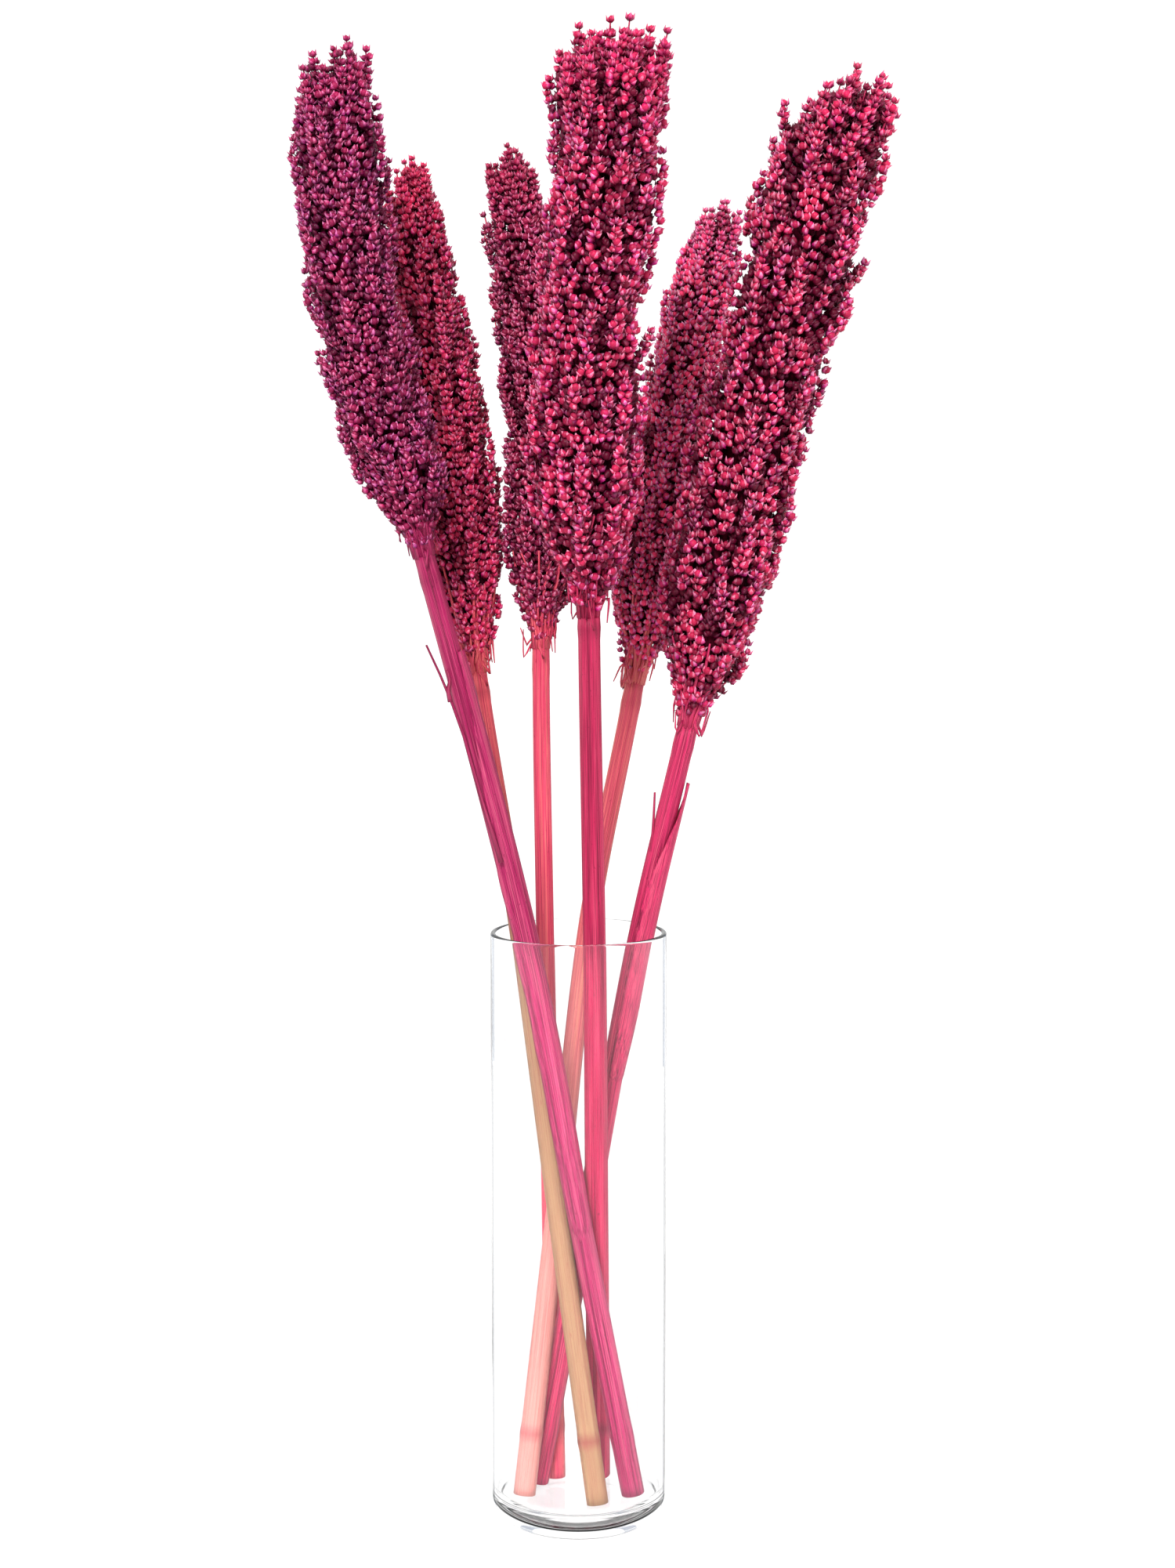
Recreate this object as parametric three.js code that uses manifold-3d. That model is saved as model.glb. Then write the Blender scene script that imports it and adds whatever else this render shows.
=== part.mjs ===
// Six dried, dyed sorghum seed heads on their cut stems, standing in a clear glass cylinder vase.
// Millimetres, +Z up. The origin is the centre of the vase's foot, and the photograph looks along +Y.
// Each plant is a straw-like stem, and a dense head of upright branches covered with grain.
import * as THREE from "three";
import { mergeVertices } from "three/addons/utils/BufferGeometryUtils.js";
import Module from "manifold-3d";

const wasm = await Module();
wasm.setup();

// The vase
const VASE_RADIUS = 51;
const VASE_HEIGHT = 350;
const VASE_WALL = 3;
const VASE_FLOOR = 14;
const VASE_FOOT_CORNER = 16;
const VASE_WELL_CORNER = 9;
const VASE_SIDES = 28;

// The stems
const STEM_SIDES = 8;
const STEM_RINGS = 9;
const STEM_TOP_SHARE = 0.9;
const NODE_SWELL = 1.07;

// The dry leaf sheaths
const SHEATH_RINGS = 9;
const SHEATH_COLUMNS = 6;
const SHEATH_THICKNESS = 0.9;
const SHEATH_TAPER_FROM = 0.6;
const SHEATH_POINT_SHARE = 0.25;

// The clearance between a plant's pieces, and between its foot and the glass
const GAP = 0.35;

// The heads, whose grains are drawn larger than life. Branch radii are shares of the head's own.
const GOLDEN_TURN = 2.39996;
const HEAD_SIDES = 22;
const HEAD_RINGS = 42;
const CROWN_ROUNDING = 0.07;
const CORE_SHARE = 0.5;
const GRAIN_PEAK = 1.09;
const GRAIN_VALLEY = 0.87;
const BRANCH_LENGTH = 84;
const BRANCH_SHARE = 0.33;
const TOP_BRANCH_END = 0.99;
const SPRIG_SIDES = 4;
const SPRIG_RINGS = 5;
const SPRIG_EVERY = 4;
const SPRIG_TOP_SHARE = 0.93;
const SPRIG_SHARE = 0.52;
const SPRIG_PEAK = 1.25;
const SPRIG_VALLEY = 0.75;

// Each plant leans across the vase: its foot stands on the glass floor and its stem rests on the rim.
// foot and rim are x, y; neck, middle and tip are x, y, z. stem and head are radii, and crown is how much of
// its fullness a head keeps at its top. sheath is the dry leaf round a stem, between two shares of its length.
const PLANTS = [
  {
    name: "front_left", seed: 11, foot: [32, -2], rim: [-31, -22],
    neck: [-86, -35, 568], middle: [-121, -45, 700], tip: [-137, -53, 850],
    stem: 6.6, head: 27, crown: 0.9, branches: 30,
    sheath: { from: 0.27, to: 0.9, facing: -0.5, spread: 1.9, loose: 0.4 },
  },
  {
    name: "back_left", seed: 23, foot: [11, -19], rim: [-35, 14.5],
    neck: [-59, 30, 498], middle: [-75, 47, 640], tip: [-105, 62, 800],
    stem: 6.1, head: 23, crown: 0.65, branches: 30,
  },
  {
    name: "back_middle", seed: 37, foot: [-14, 31], rim: [-20, 35],
    neck: [-22, 35, 512], middle: [-20, 33, 650], tip: [-42, 35, 800],
    stem: 5.6, head: 24, crown: 0.75, branches: 30,
  },
  {
    name: "front_middle", seed: 41, foot: [12, 32], rim: [9, -33],
    neck: [6, -69, 536], middle: [6, -96, 680], tip: [22, -128, 846],
    stem: 6.8, head: 31, crown: 1.1, branches: 32,
  },
  {
    name: "back_right", seed: 59, foot: [-32, -3], rim: [6, 36.5],
    neck: [33, 53, 490], middle: [55, 69, 630], tip: [85, 87, 782],
    stem: 6.3, head: 24, crown: 0.72, branches: 30,
  },
  {
    name: "front_right", seed: 73, foot: [-25, 19.5], rim: [36, 12.5],
    neck: [63, 10, 468], middle: [103, 6, 650], tip: [157, 2, 850],
    stem: 6.6, head: 33.5, crown: 0.95, branches: 38,
    sheath: { from: 0.53, to: 0.93, facing: 0, spread: 1.9, loose: 1.3 },
  },
];

// Repeatable random numbers from 0 to 1.
function dice(seed) {
  let state = seed;
  return () => {
    state = (Math.imul(state, 1664525) + 1013904223) >>> 0;
    return state / 4294967296;
  };
}

// The line that a whole plant follows, from its foot to the tip of its head.
function plantLine(plant) {
  const [x, y] = plant.foot;
  const slope = Math.hypot(plant.rim[0] - x, plant.rim[1] - y) / (VASE_HEIGHT - VASE_FLOOR);
  const foot = new THREE.Vector3(x, y, VASE_FLOOR + GAP + plant.stem * slope);
  const rim = new THREE.Vector3(...plant.rim, VASE_HEIGHT);
  const half = foot.clone().lerp(rim, 0.5);
  const upper = [plant.neck, plant.middle, plant.tip].map((p) => new THREE.Vector3(...p));
  return new THREE.CatmullRomCurve3([foot, half, rim, ...upper], false, "centripetal");
}

// The share of a rising line's length at which it reaches a height.
function shareAtHeight(line, height) {
  let low = 0;
  let high = 1;
  for (let step = 0; step < 30; step++) {
    const share = (low + high) / 2;
    if (line.getPointAt(share).z < height) low = share;
    else high = share;
  }
  return low;
}

// A stretch of a line, as a line of its own.
class Stretch extends THREE.Curve {
  constructor(line, from, to) {
    super();
    Object.assign(this, { line, from, to });
  }
  getPoint(share, target = new THREE.Vector3()) {
    return target.copy(this.line.getPointAt(this.from + (this.to - this.from) * share));
  }
}

// The place at a share of a line's length, with two directions square to the line.
function station(line, share) {
  const centre = line.getPointAt(share);
  const along = line.getTangentAt(share);
  const right = new THREE.Vector3(1, 0, 0).addScaledVector(along, -along.x).normalize();
  const away = new THREE.Vector3().crossVectors(along, right);
  const at = (reach, turn) =>
    centre
      .clone()
      .addScaledVector(right, reach * Math.cos(turn))
      .addScaledVector(away, reach * Math.sin(turn));
  return { centre, along, at };
}

function closedMesh(points, triangles) {
  const geometry = new THREE.BufferGeometry().setFromPoints(points);
  geometry.setIndex(triangles);
  return geometry;
}

// A closed round body along a line. reachAt(share, ring, side) is each corner's distance from the line.
// Corners whose ring and side add up to an even number are peaks, and each quad is split between valleys.
function roundBody(line, rings, sides, reachAt) {
  const points = [];
  const triangles = [];
  for (let ring = 0; ring < rings; ring++) {
    const share = ring / (rings - 1);
    const { at } = station(line, share);
    for (let side = 0; side < sides; side++) {
      points.push(at(reachAt(share, ring, side), (2 * Math.PI * side) / sides));
    }
  }
  const last = (rings - 1) * sides;
  const bottom = points.push(line.getPointAt(0)) - 1;
  const top = points.push(line.getPointAt(1)) - 1;
  for (let side = 0; side < sides; side++) {
    const next = (side + 1) % sides;
    triangles.push(bottom, next, side, top, last + side, last + next);
    for (let ring = 0; ring < rings - 1; ring++) {
      const [a, b] = [ring * sides + side, ring * sides + next];
      const [c, d] = [a + sides, b + sides];
      if ((ring + side) % 2 === 0) triangles.push(a, b, c, b, d, c);
      else triangles.push(a, b, d, a, d, c);
    }
  }
  return closedMesh(points, triangles);
}

function toSolid(geometry) {
  const merged = mergeVertices(geometry, 1e-4);
  return new wasm.Manifold(
    new wasm.Mesh({
      numProp: 3,
      vertProperties: new Float32Array(merged.attributes.position.array),
      triVerts: new Uint32Array(merged.index.array),
    }),
  );
}

// The outer skin of a solid: what fusing sealed inside it is filled, and loose scraps are dropped.
function toGeometry(solid) {
  const [body] = solid.decompose().sort((p, q) => q.volume() - p.volume());
  const mesh = body.getMesh();
  const geometry = new THREE.BufferGeometry();
  geometry.setAttribute("position", new THREE.BufferAttribute(mesh.vertProperties, 3));
  geometry.setIndex(new THREE.BufferAttribute(mesh.triVerts, 1));
  return geometry;
}

// How full a head is at a share of its height: narrow at the neck, full in the middle, rounded at the crown.
function fullness(share, crown) {
  const neck = THREE.MathUtils.smoothstep(share, -0.12, 0.24);
  const top = THREE.MathUtils.lerp(1, crown, THREE.MathUtils.smoothstep(share, 0.55, 1));
  return neck * top;
}

// The branches of one head: each leaves the middle low down, swings out to the head's outline and runs up it.
// Heights are shares of the head's length. Every few branches end in a sprig that stands clear of the head.
function branchesOf(plant, headLine) {
  const roll = dice(plant.seed);
  const span = BRANCH_LENGTH / headLine.getLength();
  const last = plant.branches - 1;
  const branches = [];
  for (let order = 0; order <= last; order++) {
    const top = THREE.MathUtils.lerp(span * 0.62, TOP_BRANCH_END, order / last) + (roll() - 0.5) * 0.07;
    const from = Math.max(0.005, top - span * (0.85 + 0.3 * roll()));
    const turn = order * GOLDEN_TURN + (roll() - 0.5) * 0.5;
    const radius = plant.head * BRANCH_SHARE * (0.9 + 0.2 * roll());
    const lean = 0.93 + 0.14 * roll();
    const sprig = order % SPRIG_EVERY === 0 && top < SPRIG_TOP_SHARE;
    branches.push({ from, to: Math.min(TOP_BRANCH_END, top), turn, radius, lean, sprig });
  }
  return branches;
}

// A branch is slim where it leaves the middle, full along most of its length and round at its tip.
function branchFullness(share) {
  const root = THREE.MathUtils.smoothstep(share, -0.12, 0.4);
  const tip = Math.sqrt(Math.max(0, 1 - Math.pow(Math.max(0, (share - 0.6) / 0.42), 2)));
  return root * tip;
}

// How far a branch's middle lies from the head's own middle at a height.
function branchOffset(plant, branch, height) {
  const share = (height - branch.from) / (branch.to - branch.from);
  const outline = plant.head * fullness(height, plant.crown) * branch.lean;
  return Math.max(2, outline - branch.radius) * THREE.MathUtils.smoothstep(share, -0.3, 0.35);
}

// How far the head's surface lies from its middle in one direction: the core, or the furthest branch there.
function headReach(plant, branches, height, turn) {
  const crown = Math.max(0, (height - 1 + CROWN_ROUNDING) / CROWN_ROUNDING);
  const rounding = Math.sqrt(Math.max(0.02, 1 - crown * crown));
  let reach = CORE_SHARE * plant.head * fullness(height, plant.crown) * rounding;
  for (const branch of branches) {
    const share = (height - branch.from) / (branch.to - branch.from);
    if (share <= 0 || share >= 1) continue;
    const offset = branchOffset(plant, branch, height);
    const radius = branch.radius * branchFullness(share);
    const aside = offset * Math.sin(turn - branch.turn);
    if (Math.cos(turn - branch.turn) < 0 || Math.abs(aside) >= radius) continue;
    const near = offset * Math.cos(turn - branch.turn);
    reach = Math.max(reach, near + Math.sqrt(radius * radius - aside * aside));
  }
  return reach;
}

// A sprig at a branch's tip: a few grains on a twig that stands up and out past the head's outline.
function sprigGeometry(plant, headLine, branch) {
  const place = (height, outward) => {
    const offset = branchOffset(plant, branch, Math.min(height, branch.to));
    return station(headLine, Math.min(1, height)).at(offset + outward, branch.turn);
  };
  const span = branch.to - branch.from;
  const start = place(branch.to - span * 0.35, 0);
  const bend = place(branch.to - span * 0.08, branch.radius * 0.35);
  const direction = station(headLine, Math.min(1, branch.to)).along;
  const tip = bend.clone().addScaledVector(direction, branch.radius * 1.3);
  tip.add(place(branch.to, branch.radius * 0.5).sub(place(branch.to, 0)));
  const line = new THREE.CatmullRomCurve3([start, bend, tip]);
  const reachAt = (share, ring, side) => {
    const grain = (ring + side) % 2 === 0 ? SPRIG_PEAK : SPRIG_VALLEY;
    const taper = ring === SPRIG_RINGS - 1 ? 0.35 : THREE.MathUtils.lerp(1.1, 0.8, share);
    return branch.radius * SPRIG_SHARE * taper * grain;
  };
  return roundBody(line, SPRIG_RINGS, SPRIG_SIDES, reachAt);
}

function headGeometry(plant, headLine) {
  const branches = branchesOf(plant, headLine);
  const reachAt = (share, ring, side) => {
    const grain = (ring + side) % 2 === 0 ? GRAIN_PEAK : GRAIN_VALLEY;
    if (ring === 0) return plant.stem * STEM_TOP_SHARE;
    return grain * headReach(plant, branches, share, (2 * Math.PI * side) / HEAD_SIDES);
  };
  let solid = toSolid(roundBody(headLine, HEAD_RINGS, HEAD_SIDES, reachAt));
  for (const branch of branches.filter((b) => b.sprig)) {
    solid = solid.add(toSolid(sprigGeometry(plant, headLine, branch)));
  }
  return toGeometry(solid);
}

// A straw-like stem with the slight swelling of a node near its foot and below its head.
function stemGeometry(plant, stemLine) {
  const reachAt = (share, ring) => {
    const taper = THREE.MathUtils.lerp(1, STEM_TOP_SHARE, share);
    const node = ring === 1 || ring === STEM_RINGS - 2 ? NODE_SWELL : 1;
    return plant.stem * taper * node;
  };
  return roundBody(stemLine, STEM_RINGS, STEM_SIDES, reachAt);
}

// A dry leaf sheath: a thin curved shell open along one side, which ends in a narrow free point.
function sheathGeometry(plant, stemLine) {
  const { from, to, facing, spread, loose } = plant.sheath;
  const line = new Stretch(stemLine, from, to);
  const [rings, columns] = [SHEATH_RINGS, SHEATH_COLUMNS];
  const inner = plant.stem + GAP + loose;
  const points = [];
  for (let ring = 0; ring < rings; ring++) {
    const share = ring / (rings - 1);
    const { at } = station(line, share);
    const taper = THREE.MathUtils.smoothstep(share, SHEATH_TAPER_FROM, 1);
    const half = spread * THREE.MathUtils.lerp(1, SHEATH_POINT_SHARE, taper);
    for (const reach of [inner + SHEATH_THICKNESS, inner]) {
      for (let column = 0; column < columns; column++) {
        points.push(at(reach, facing + half * ((2 * column) / (columns - 1) - 1)));
      }
    }
  }
  const size = 2 * columns;
  const triangles = [];
  const quad = (a, b, c, d) => triangles.push(a, b, c, a, c, d);
  for (let ring = 0; ring < rings - 1; ring++) {
    const [low, high] = [ring * size, (ring + 1) * size];
    for (let column = 0; column < columns - 1; column++) {
      quad(low + column, low + column + 1, high + column + 1, high + column);
      const inside = columns + column;
      quad(low + inside + 1, low + inside, high + inside, high + inside + 1);
    }
    quad(low + columns, low, high, high + columns);
    quad(low + columns - 1, low + size - 1, high + size - 1, high + columns - 1);
  }
  const end = (rings - 1) * size;
  for (let column = 0; column < columns - 1; column++) {
    quad(column + 1, column, columns + column, columns + column + 1);
    quad(end + column, end + column + 1, end + columns + column + 1, end + columns + column);
  }
  return closedMesh(points, triangles);
}

// A heavy-footed glass cylinder with a rounded foot and a fire-polished rim.
function vaseGeometry() {
  const bore = VASE_RADIUS - VASE_WALL;
  const lip = VASE_WALL / 2;
  const outline = new THREE.Path();
  outline.moveTo(0, 0);
  outline.lineTo(VASE_RADIUS - VASE_FOOT_CORNER, 0);
  outline.absarc(VASE_RADIUS - VASE_FOOT_CORNER, VASE_FOOT_CORNER, VASE_FOOT_CORNER, -Math.PI / 2, 0);
  outline.absarc(bore + lip, VASE_HEIGHT - lip, lip, 0, Math.PI);
  const well = VASE_FLOOR + VASE_WELL_CORNER;
  outline.absarc(bore - VASE_WELL_CORNER, well, VASE_WELL_CORNER, 0, -Math.PI / 2, true);
  outline.lineTo(0, VASE_FLOOR);
  const points = outline.getPoints(2);
  const profile = points.filter((point, i) => i === 0 || point.distanceTo(points[i - 1]) > 0.01);
  return new THREE.LatheGeometry(profile, VASE_SIDES).rotateX(Math.PI / 2);
}

const FINISH = {
  glass: { color: 0xeaf2f2, roughness: 0.05, metalness: 0, transparent: true, opacity: 0.3 },
  stem: { color: 0xb8475e, roughness: 0.6, metalness: 0 },
  straw: { color: 0xc98f5e, roughness: 0.6, metalness: 0 },
  grain: { color: 0x8a2f45, roughness: 0.7, metalness: 0 },
};
const materials = {};
for (const [name, finish] of Object.entries(FINISH)) {
  materials[name] = new THREE.MeshStandardMaterial(finish);
}

const arrangement = new THREE.Group();
function place(name, geometry, material) {
  const mesh = new THREE.Mesh(geometry, materials[material]);
  mesh.name = name;
  arrangement.add(mesh);
}

place("vase", vaseGeometry(), "glass");
for (const plant of PLANTS) {
  const line = plantLine(plant);
  const neck = shareAtHeight(line, plant.neck[2]);
  const stemLine = new Stretch(line, 0, neck);
  const headLine = new Stretch(line, neck + GAP / line.getLength(), 1);
  place(`stem_${plant.name}`, stemGeometry(plant, stemLine), "stem");
  place(`head_${plant.name}`, headGeometry(plant, headLine), "grain");
  if (plant.sheath) place(`sheath_${plant.name}`, sheathGeometry(plant, stemLine), "straw");
}

export default arrangement;
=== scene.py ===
"""Six dried, dyed sorghum seed heads on their cut stems, leaning out of a clear glass cylinder vase.

The plants are modelled straight, in millimetres, and then laid along the lines that they follow in the
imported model. The finished meshes are in metres, in the model's frame.
"""

import math
import random

import bmesh
import bpy
import numpy as np
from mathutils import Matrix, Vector
from mathutils.kdtree import KDTree


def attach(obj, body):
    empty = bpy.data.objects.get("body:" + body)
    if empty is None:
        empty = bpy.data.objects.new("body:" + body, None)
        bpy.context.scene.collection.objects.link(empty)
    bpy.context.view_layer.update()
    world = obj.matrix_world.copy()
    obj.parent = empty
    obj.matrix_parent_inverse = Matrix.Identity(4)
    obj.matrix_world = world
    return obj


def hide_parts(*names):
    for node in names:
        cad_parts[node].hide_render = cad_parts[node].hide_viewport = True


# Sizes of the vase and the plants are in millimetres, turns are in radians, and shares are parts of a whole
MM = 0.001
UP = np.array([0.0, 0.0, 1.0])

# The vase
VASE_RADIUS = 51
VASE_HEIGHT = 350
VASE_WALL = 3
VASE_FLOOR = 14
VASE_FOOT_CORNER = 16
VASE_WELL_CORNER = 9
VASE_RIM_CORNER = 1.44
VASE_SIDES = 96

# The stems
STEM_SIDES = 24
STEM_RINGS = 80
STEM_TOP_SHARE = 0.9
FLUTE_DEPTH = 0.012
OVALNESS = 0.03
JOINT_SWELLING = 0.07
JOINT_WIDTH = 3.5
SCAR_WIDTH = 1.2
GAP = 0.35

# The leaf sheaths
SHEATH_COLUMNS = 18
SHEATH_RINGS = 70
SHEATH_FOOT_DEPTH = 0.9
SHEATH_FOOT_THICKNESS = 0.2
SHEATH_THICKNESS = 0.75
EDGE_RIPPLE = 0.35
STRIP_RADII = (1.5, 0.6)

# The heads' branches
GOLDEN_TURN = 2.39996
BRANCH_LENGTH = 84
BRANCH_SHARE = 0.33
TOP_BRANCH_END = 0.99
CORE_SHARE = 0.5
CROWN_ROUNDING = 0.07

# The heads' spikelets. A catkin is a short row of them round a twig. Catkins stand side by side over the
# head as upright cords, and loose above it as sprigs and a crown tuft. Fillers close the gaps behind.
CATKIN_LENGTH = 27
CATKIN_RADIUS = 2.5
LEVEL_STEP = 3.2
CORD_TRIES = 2600
CORD_DEPTHS = (5.0, 2.7, 2.2)
CORD_SPACING = 8.4
CORD_SQUASH = 0.6
SPRIG_SHARE = 0.85
SPRIG_TOP_SHARE = 0.93
CROWN_SHARE = 0.92
FILLER_SHARES = (0.87, 0.79)
FILLER_FLOOR = 0.84
SPIKELET_SIZE = 5.5
SPIKELET_SPACING = 3.25
TUFT_SPACING = 2.9
MOST_SPIKELETS = 4060
SHADE_REACH = 8.5
SHADE_DEPTHS = (1.5, 7.5)
BARE_NECK = 5
BARE_NECK_MORE = 38

# Those of a lower rank choose their places first
TUFT_RANK = 0
CORD_RANK = 1000
FILLER_RANK = 2000

# The heads' stalks
RIBS = 17
CURLED_FIBRES = 22
TWIG_SIDES = 4
TWIG_RINGS = 8
TWIG_RADII = (0.75, 0.4)
HEART_SHARE = 0.66
HEART_RINGS = 40
HEART_SIDES = 20

# The order of a head's materials
GRAIN, CANE, HEART = range(3)

# Each plant leans across the vase, from its foot on the glass floor to where its stem rests on the rim.
# foot and rim are x, y; neck, middle and tip are x, y, z. stem and head are radii. crown is how much of its
# fullness a head keeps at its top, which is highest towards the turn peak and slants down away from it.
# grain sizes the spikelets. A sheath runs between two shares of the stem, faces one turn, spreads to both
# sides of it and stands loose of the stem. Its strips are torn ends that stand free.
PLANTS = [
    {
        "name": "front_left", "seed": 11, "foot": (32, -2), "rim": (-31, -22),
        "neck": (-86, -35, 568), "middle": (-121, -45, 700), "tip": (-137, -53, 850),
        "stem": 6.6, "head": 27, "crown": 0.9, "branches": 30, "grain": 1.0, "peak": 0.0, "slant": 0.05,
        "sheath": {
            "from": 0.27, "to": 0.9, "facing": -0.5, "spread": 1.9, "loose": 0.4,
            "strips": [
                [
                    (-43.5, -36, 395), (-55.7, -36, 435), (-65.3, -36, 470),
                    (-77.4, -36, 501), (-85.2, -36, 518),
                ],
                [(-71.8, -36, 486), (-73.1, -36, 493), (-72.2, -36, 498), (-73.9, -36, 504)],
            ],
        },
    },
    {
        "name": "back_left", "seed": 23, "foot": (11, -19), "rim": (-35, 14.5),
        "neck": (-59, 30, 498), "middle": (-75, 47, 640), "tip": (-105, 62, 800),
        "stem": 6.1, "head": 23, "crown": 0.65, "branches": 30, "grain": 0.95, "peak": 0.0, "slant": 0.05,
    },
    {
        "name": "back_middle", "seed": 37, "foot": (-14, 31), "rim": (-20, 35),
        "neck": (-22, 35, 512), "middle": (-20, 33, 650), "tip": (-42, 35, 800),
        "stem": 5.6, "head": 24, "crown": 0.75, "branches": 30, "grain": 0.95, "peak": 3.1, "slant": 0.03,
    },
    {
        "name": "front_middle", "seed": 41, "foot": (12, 32), "rim": (9, -33),
        "neck": (6, -69, 536), "middle": (6, -96, 680), "tip": (22, -128, 846),
        "stem": 6.8, "head": 31, "crown": 1.1, "branches": 32, "grain": 1.1, "peak": 0.6, "slant": 0.02,
    },
    {
        "name": "back_right", "seed": 59, "foot": (-32, -3), "rim": (6, 36.5),
        "neck": (33, 53, 490), "middle": (55, 69, 630), "tip": (85, 87, 782),
        "stem": 6.3, "head": 24, "crown": 0.72, "branches": 30, "grain": 0.95, "peak": 0.0, "slant": 0.06,
    },
    {
        "name": "front_right", "seed": 73, "foot": (-25, 19.5), "rim": (36, 12.5),
        "neck": (63, 10, 468), "middle": (103, 6, 650), "tip": (157, 2, 850),
        "stem": 6.6, "head": 33.5, "crown": 0.95, "branches": 38, "grain": 1.16, "peak": 0.0, "slant": 0.06,
        "sheath": {
            "from": 0.53, "to": 0.93, "facing": 0.0, "spread": 1.9, "loose": 1.3,
            "strips": [[(33.4, 8, 343), (37.9, 8, 366), (41.5, 8, 389), (43.3, 8, 412), (44.1, 8, 430)]],
        },
    },
]

# The dyes of each head, as a screen shows them: deep, grain, cool, warm and pale. Deep is the darker dye of
# some spikelets and also the painted shade at the spikelets' feet and in the gaps; pale is the husks' own pale
# edges and tips, with a painted highlight on them.
GRAIN_DYES_AND_PAINTED_LIGHT = {
    "front_left": ((66, 0, 32), (140, 26, 70), (172, 26, 124), (206, 32, 98), (250, 158, 204)),
    "back_left": ((80, 0, 26), (188, 32, 72), (222, 24, 124), (252, 34, 98), (255, 168, 200)),
    "back_middle": ((70, 0, 28), (140, 24, 62), (172, 18, 104), (204, 28, 84), (250, 168, 200)),
    "front_middle": ((74, 0, 30), (188, 32, 76), (220, 20, 142), (252, 34, 104), (255, 184, 216)),
    "back_right": ((100, 1, 40), (255, 64, 112), (255, 56, 176), (255, 80, 150), (255, 218, 236)),
    "front_right": ((72, 0, 28), (188, 32, 74), (220, 20, 138), (252, 34, 102), (255, 190, 218)),
}

# The colours of each cane: dye, deep, pale and bare. The dye fades to bare between the two heights, which
# lie above the stem's end where it is dyed all over.
CANE_DYES = {
    "front_left": ((178, 24, 92), (96, 6, 44), (214, 90, 126), (196, 140, 112), 900, 1100),
    "back_left": ((214, 64, 92), (140, 24, 50), (232, 128, 110), (170, 132, 98), 570, 380),
    "back_middle": ((228, 66, 102), (156, 22, 64), (244, 136, 126), (230, 146, 120), 900, 1100),
    "front_middle": ((190, 28, 80), (104, 6, 42), (218, 72, 108), (196, 140, 112), 900, 1100),
    "back_right": ((226, 84, 108), (164, 40, 66), (240, 150, 122), (218, 148, 138), 520, 160),
    "front_right": ((208, 40, 96), (96, 6, 42), (232, 92, 124), (196, 140, 112), 900, 1100),
}

# The camera, fitted to the vase's rim, sides and foot, in metres
CAMERA_PLACE = (0.0052, -1.732, 0.6273)
CAMERA_TILT = 0.1102
CAMERA_LENS = 69.57

# The light of the white room: as seen, on the plants, and as the glass mirrors it behind and in front
SEEN_LIGHT = 1.1
ROOM_LIGHT = 0.6
GLOSS_BEHIND = 1.0
GLOSS_IN_FRONT = 0.2
BOUNCES = 16

# Each sun: the way that it shines from, its power, and its softness in degrees
SUNS = {
    "key": ((-0.35, -1.6, 1.1), 3.2, 20),
    "fill": ((1.5, -1.0, 0.7), 1.0, 40),
}

# The floor and the two cards that stand behind the vase, in metres and degrees
FLOOR_RADIUS = 9
CARD_PLACE = (0.6, 1.2, 0.5)
CARD_SIZE = (0.2, 2.2)
CARD_TURN = 27


def lerp(low, high, share):
    return low + (high - low) * share


def smoothstep(value, low, high):
    share = np.clip((value - low) / (high - low), 0, 1)
    return share * share * (3 - 2 * share)


def unit(vectors):
    return vectors / np.linalg.norm(vectors, axis=-1, keepdims=True)


class Line:
    """A smooth line through points, which a straight piece is laid along."""

    def __init__(self, points, steps=60):
        points = np.array(points, float)
        before = 2 * points[:1] - points[1:2]
        after = 2 * points[-1:] - points[-2:-1]
        knots = np.vstack([before, points, after])
        spaces = np.sqrt(np.linalg.norm(np.diff(knots, axis=0), axis=1))
        share = np.linspace(0, 1, steps, endpoint=False)[:, None]
        runs = []
        for i in range(1, len(points)):
            a, b, c, d = knots[i - 1 : i + 3]
            first, middle, last = spaces[i - 1 : i + 2]
            leave = ((b - a) / first - (c - a) / (first + middle) + (c - b) / middle) * middle
            arrive = ((c - b) / middle - (d - b) / (middle + last) + (d - c) / last) * middle
            square = share**2
            cube = share**3
            runs.append(
                (2 * cube - 3 * square + 1) * b
                + (cube - 2 * square + share) * leave
                + (3 * square - 2 * cube) * c
                + (cube - square) * arrive
            )
        self.points = np.vstack([*runs, points[-1:]])
        steps_long = np.linalg.norm(np.diff(self.points, axis=0), axis=1)
        self.lengths = np.concatenate([[0], np.cumsum(steps_long)])
        self.length = self.lengths[-1]

    def at(self, distance):
        """Places at distances along the line."""
        return np.stack(
            [np.interp(distance, self.lengths, self.points[:, axis]) for axis in range(3)], axis=-1
        )

    def frames(self, distance):
        """Places at distances along the line, the way it runs there, and two directions square to it."""
        look = 1.5
        centre = self.at(distance)
        behind = np.clip(distance - look, 0, self.length)
        ahead = np.clip(distance + look, 0, self.length)
        along = unit(self.at(ahead) - self.at(behind))
        right = np.zeros_like(along)
        right[..., 0] = 1
        right = unit(right - along * along[..., :1])
        away = np.cross(along, right)
        return centre, along, right, away

    def lay(self, points, start=0.0):
        """Points of a straight piece that stands along +Z, bent to follow the line from start."""
        distance = points[:, 2] + start
        on_line = np.clip(distance, 0, self.length)
        centre, along, right, away = self.frames(on_line)
        over = (distance - on_line)[:, None]
        return centre + right * points[:, :1] + away * points[:, 1:2] + along * over

    def distance_at_height(self, height):
        return float(np.interp(height, self.points[:, 2], self.lengths))


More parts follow.
